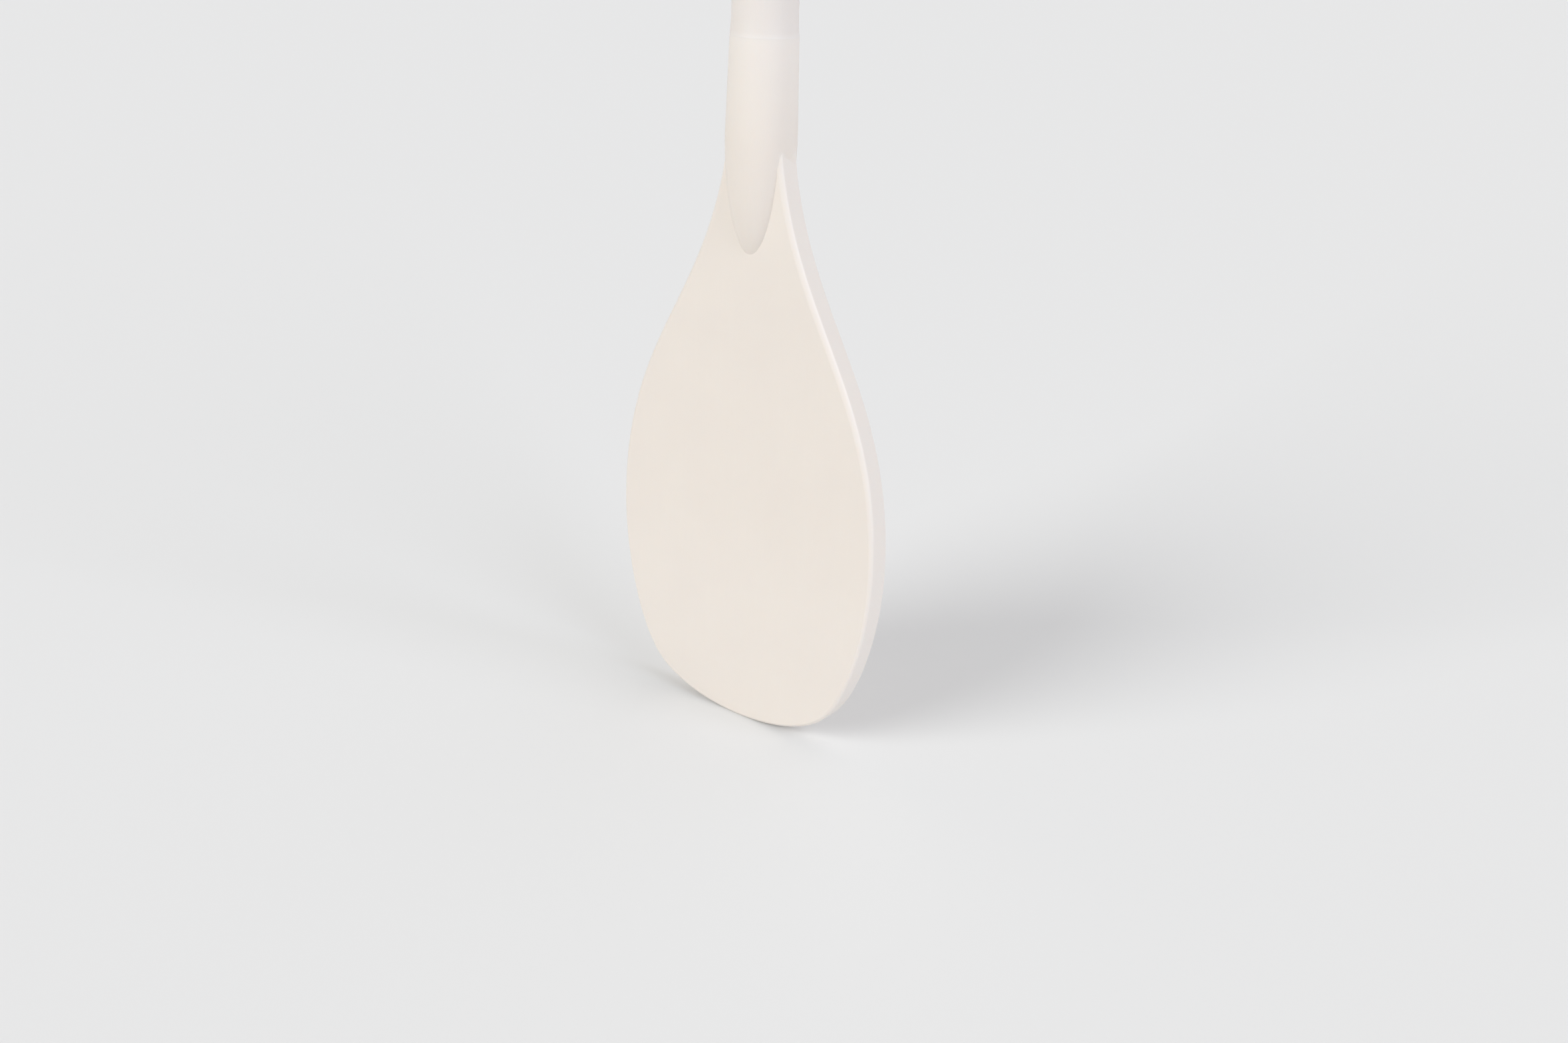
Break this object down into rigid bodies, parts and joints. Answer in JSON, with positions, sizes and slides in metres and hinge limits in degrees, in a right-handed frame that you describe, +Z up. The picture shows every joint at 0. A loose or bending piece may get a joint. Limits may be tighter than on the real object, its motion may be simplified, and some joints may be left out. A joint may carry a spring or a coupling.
{
  "type": "bone folder",
  "caption": "Hand tool with a flat leaf-shaped blade and a slim round handle, for creasing, scoring and smoothing paper and card.",
  "frame": {"origin": "middle of the blade's rounded tip, which is the lowest point when the tool is held upright", "axes": "+Z up along the handle, +X across the blade, +Y through its thickness towards the back face"},
  "size_m": [0.038, 0.008, 0.18],
  "materials": {
    "ivory_body": "smooth satin, warm ivory",
    "dowel_steel": "ground pin, seen only when the joint is apart"
  },
  "bodies": {
    "root": {"blade": "ivory_body", "handle": "ivory_body", "dowel": "dowel_steel"}
  },
  "joints": []
}
